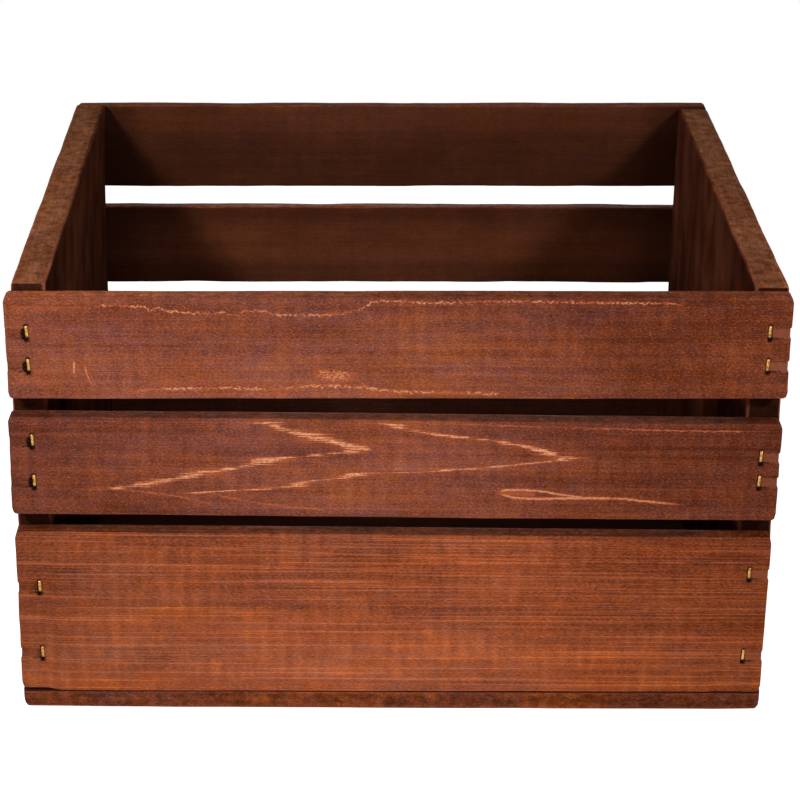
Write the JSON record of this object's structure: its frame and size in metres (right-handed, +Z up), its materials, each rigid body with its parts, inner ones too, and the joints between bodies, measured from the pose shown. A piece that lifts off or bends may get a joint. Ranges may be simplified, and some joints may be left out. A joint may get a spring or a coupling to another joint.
{
  "type": "wooden half crate",
  "caption": "Open-topped stained pine half crate with solid end boards, a slatted front and back and a boarded floor, held by wire staples, for display or storage.",
  "frame": {"origin": "centre of the underside, between the outer faces of the floor boards' ends and edges", "axes": "+X along the slats, +Y from the front slats to the back slats, +Z up"},
  "size_m": [0.3213, 0.282, 0.1931],
  "materials": {
    "end_board_stain": "red-brown stain on sawn pine, matte",
    "slat_stain": "red-brown stain on planed pine, satin",
    "floor_stain": "red-brown stain on sawn pine, matte",
    "staple_wire": "brass-coloured coated steel wire"
  },
  "bodies": {
    "root": {"back_bottom_slat": "slat_stain", "back_middle_slat": "slat_stain", "back_top_slat": "slat_stain", "floor_board_1": "floor_stain", "floor_board_2": "floor_stain", "floor_board_3": "floor_stain", "front_bottom_slat": "slat_stain", "front_middle_slat": "slat_stain", "front_top_slat": "slat_stain", "left_end_board": "end_board_stain", "right_end_board": "end_board_stain", "back_bottom_slat_staple_left_1": "staple_wire", "back_bottom_slat_staple_left_2": "staple_wire", "back_bottom_slat_staple_right_1": "staple_wire", "back_bottom_slat_staple_right_2": "staple_wire", "back_middle_slat_staple_left_1": "staple_wire", "back_middle_slat_staple_left_2": "staple_wire", "back_middle_slat_staple_right_1": "staple_wire", "back_middle_slat_staple_right_2": "staple_wire", "back_top_slat_staple_left_1": "staple_wire", "back_top_slat_staple_left_2": "staple_wire", "back_top_slat_staple_right_1": "staple_wire", "back_top_slat_staple_right_2": "staple_wire", "floor_board_1_staple_left_1": "staple_wire", "floor_board_1_staple_left_2": "staple_wire", "floor_board_1_staple_right_1": "staple_wire", "floor_board_1_staple_right_2": "staple_wire", "floor_board_2_staple_left_1": "staple_wire", "floor_board_2_staple_left_2": "staple_wire", "floor_board_2_staple_right_1": "staple_wire", "floor_board_2_staple_right_2": "staple_wire", "floor_board_3_staple_left_1": "staple_wire", "floor_board_3_staple_left_2": "staple_wire", "floor_board_3_staple_right_1": "staple_wire", "floor_board_3_staple_right_2": "staple_wire", "front_bottom_slat_staple_left_1": "staple_wire", "front_bottom_slat_staple_left_2": "staple_wire", "front_bottom_slat_staple_right_1": "staple_wire", "front_bottom_slat_staple_right_2": "staple_wire", "front_middle_slat_staple_left_1": "staple_wire", "front_middle_slat_staple_left_2": "staple_wire", "front_middle_slat_staple_right_1": "staple_wire", "front_middle_slat_staple_right_2": "staple_wire", "front_top_slat_staple_left_1": "staple_wire", "front_top_slat_staple_left_2": "staple_wire", "front_top_slat_staple_right_1": "staple_wire", "front_top_slat_staple_right_2": "staple_wire"}
  },
  "joints": []
}
